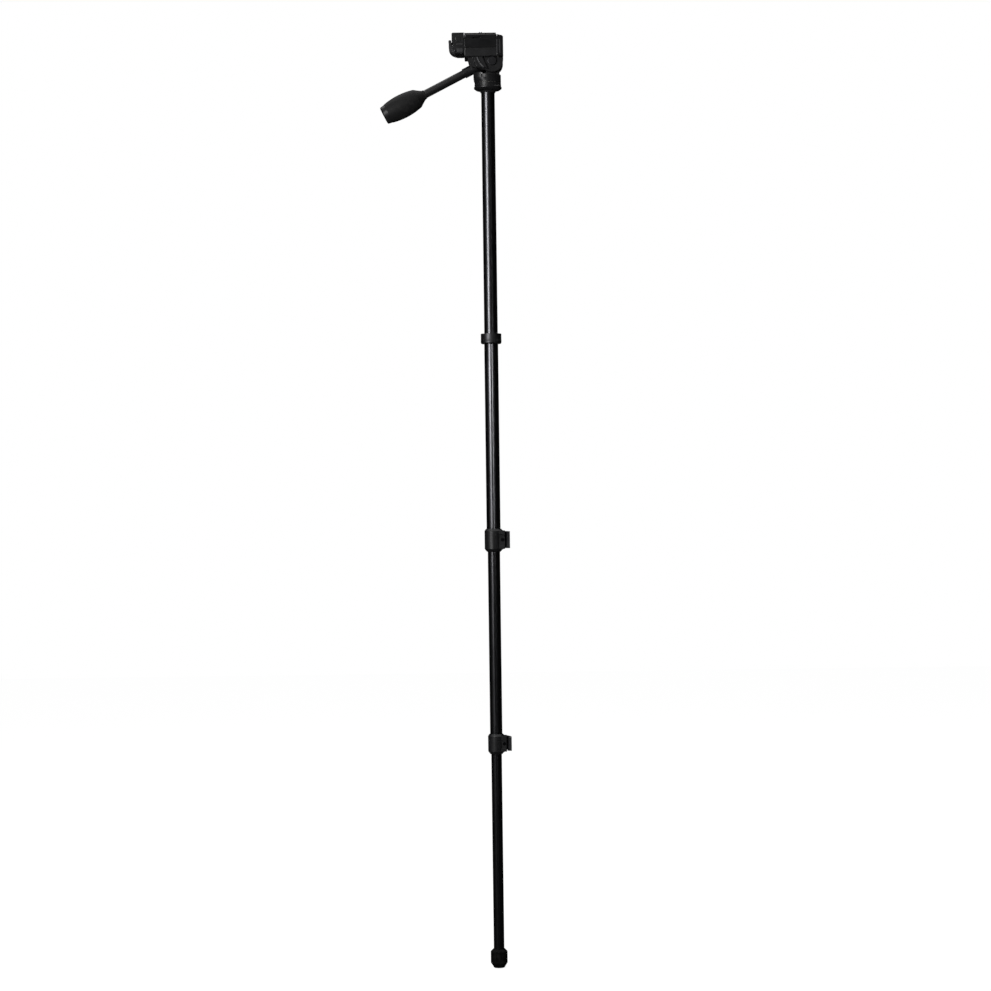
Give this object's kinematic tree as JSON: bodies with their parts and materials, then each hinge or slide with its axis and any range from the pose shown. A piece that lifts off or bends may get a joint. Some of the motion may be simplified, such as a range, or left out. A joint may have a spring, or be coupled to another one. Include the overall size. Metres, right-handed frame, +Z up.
{
  "type": "camera monopod with three-way head",
  "caption": "Single-leg camera support with flip-locked telescoping sections, plain column and a pan, tilt and portrait head with quick-release clamp.",
  "frame": {"origin": "centre of the foot's bottom face, leg fully extended", "axes": "+Z up along the leg, +X the side that the lens faces, -X the handle side, +Y the hinge side of the portrait platform"},
  "size_m": [0.2234, 0.0687, 1.6836],
  "materials": {
    "tube": "black anodised, satin",
    "moulding": "black glass-filled nylon, fine texture",
    "lever": "dark grey nylon",
    "collar": "black anodised, turned",
    "rubber": "matte black rubber",
    "grip": "soft black rubber",
    "steel": "zinc plated",
    "black_steel": "black oxide",
    "brass": "turned",
    "nylon": "natural nylon",
    "level": "clear vial with green fluid"
  },
  "bodies": {
    "upper_leg": {"leg_tube_1": "tube", "lock_1_collar": "moulding", "lock_1_liner": "nylon", "lock_1_bolt": "steel", "lock_1_nut": "steel", "lock_1_pin": "steel", "leg_top_collar": "collar", "leg_insert": "brass", "column_stud": "steel", "column_bottom_plug": "moulding", "column_tube": "tube", "column_top_plug": "moulding", "head_stud": "steel", "pan_base": "moulding", "pan_friction_ring": "nylon"},
    "middle_leg": {"leg_tube_2": "tube", "tube_2_sleeve": "nylon", "lock_2_collar": "moulding", "lock_2_liner": "nylon", "lock_2_bolt": "steel", "lock_2_nut": "steel", "lock_2_pin": "steel"},
    "lower_leg": {"leg_tube_3": "tube", "tube_3_sleeve": "nylon", "foot_plug": "moulding", "foot_rubber": "rubber"},
    "lock_1_lever": {"lock_1_lever": "lever"},
    "lock_2_lever": {"lock_2_lever": "lever"},
    "pan_head": {"pan_housing": "moulding", "pan_retaining_screw": "steel"},
    "pan_lock": {"pan_lock_knob": "moulding", "pan_lock_screw": "steel"},
    "tilt_head": {"tilt_block": "moulding", "tilt_axle": "black_steel", "tilt_axle_nut": "black_steel", "tilt_friction_washers": "nylon", "tilt_brake_pad": "nylon", "flip_hinge_pin": "black_steel"},
    "handle": {"handle_rod": "collar", "handle_stud": "steel", "handle_grip": "grip", "grip_end_cap": "moulding"},
    "portrait_platform": {"flip_platform": "moulding", "clamp_block": "moulding", "clamp_lever_pin": "black_steel", "level_vial": "level", "level_cap": "moulding"},
    "portrait_lock": {"flip_lock_knob": "moulding", "flip_lock_screw": "steel"},
    "clamp_lever": {"clamp_lever": "lever"},
    "clamp_jaw": {"clamp_jaw": "moulding"},
    "release_plate": {"release_plate": "moulding", "plate_pad": "rubber"},
    "camera_screw": {"camera_screw": "steel", "camera_screw_clip": "steel"}
  },
  "joints": [
    {"name": "middle_leg_slide", "type": "slide", "parent": "upper_leg", "child": "middle_leg", "axis": [0, 0, 1], "range_m": [0, 0.29]},
    {"name": "lower_leg_slide", "type": "slide", "parent": "middle_leg", "child": "lower_leg", "axis": [0, 0, 1], "range_m": [0, 0.345]},
    {"name": "lock_1_lever_swing", "type": "hinge", "parent": "upper_leg", "child": "lock_1_lever", "pos_m": [0.016, 0.01875, 0.7694], "axis": [0, 0, 1], "range_deg": [0, 120]},
    {"name": "lock_2_lever_swing", "type": "hinge", "parent": "middle_leg", "child": "lock_2_lever", "pos_m": [0.0145, 0.01725, 0.4029], "axis": [0, 0, 1], "range_deg": [0, 120]},
    {"name": "pan", "type": "hinge", "parent": "upper_leg", "child": "pan_head", "pos_m": [0, 0, 1.5908], "axis": [0, 0, 1], "continuous": true},
    {"name": "pan_lock_turn", "type": "hinge", "parent": "pan_head", "child": "pan_lock", "pos_m": [0, 0.0237, 1.59655], "axis": [0, 1, 0], "range_deg": [0, 270]},
    {"name": "tilt", "type": "hinge", "parent": "pan_head", "child": "tilt_head", "pos_m": [0.0083, 0, 1.628], "axis": [0, 1, 0], "range_deg": [-10, 90]},
    {"name": "handle_turn", "type": "hinge", "parent": "tilt_head", "child": "handle", "pos_m": [0.00567, 0, 1.63317], "axis": [-0.891, 0, -0.454], "range_deg": [0, 270]},
    {"name": "portrait_flip", "type": "hinge", "parent": "tilt_head", "child": "portrait_platform", "pos_m": [0, 0.031, 1.651], "axis": [-1, 0, 0], "range_deg": [0, 90]},
    {"name": "portrait_lock_turn", "type": "hinge", "parent": "tilt_head", "child": "portrait_lock", "pos_m": [-0.038, 0.031, 1.651], "axis": [-1, 0, 0], "range_deg": [0, 270]},
    {"name": "clamp_lever_swing", "type": "hinge", "parent": "portrait_platform", "child": "clamp_lever", "pos_m": [-0.058, 0, 1.6468], "axis": [0, -1, 0], "range_deg": [0, 35], "stiffness_Nm_per_rad": 0.25, "springref_deg": -20.05},
    {"name": "clamp_jaw_slide", "type": "slide", "parent": "portrait_platform", "child": "clamp_jaw", "axis": [-1, 0, 0], "range_m": [0, 0.002]},
    {"name": "release_plate_slide", "type": "slide", "parent": "portrait_platform", "child": "release_plate", "axis": [0, -1, 0], "range_m": [0, 0.045]},
    {"name": "camera_screw_turn", "type": "hinge", "parent": "release_plate", "child": "camera_screw", "pos_m": [-0.012, 0, 1.66705], "axis": [0, 0, 1], "continuous": true}
  ],
  "couplings": [
    {"joint": "clamp_jaw_slide", "follows": "clamp_lever_swing", "m_per_rad": 0.00327}
  ]
}
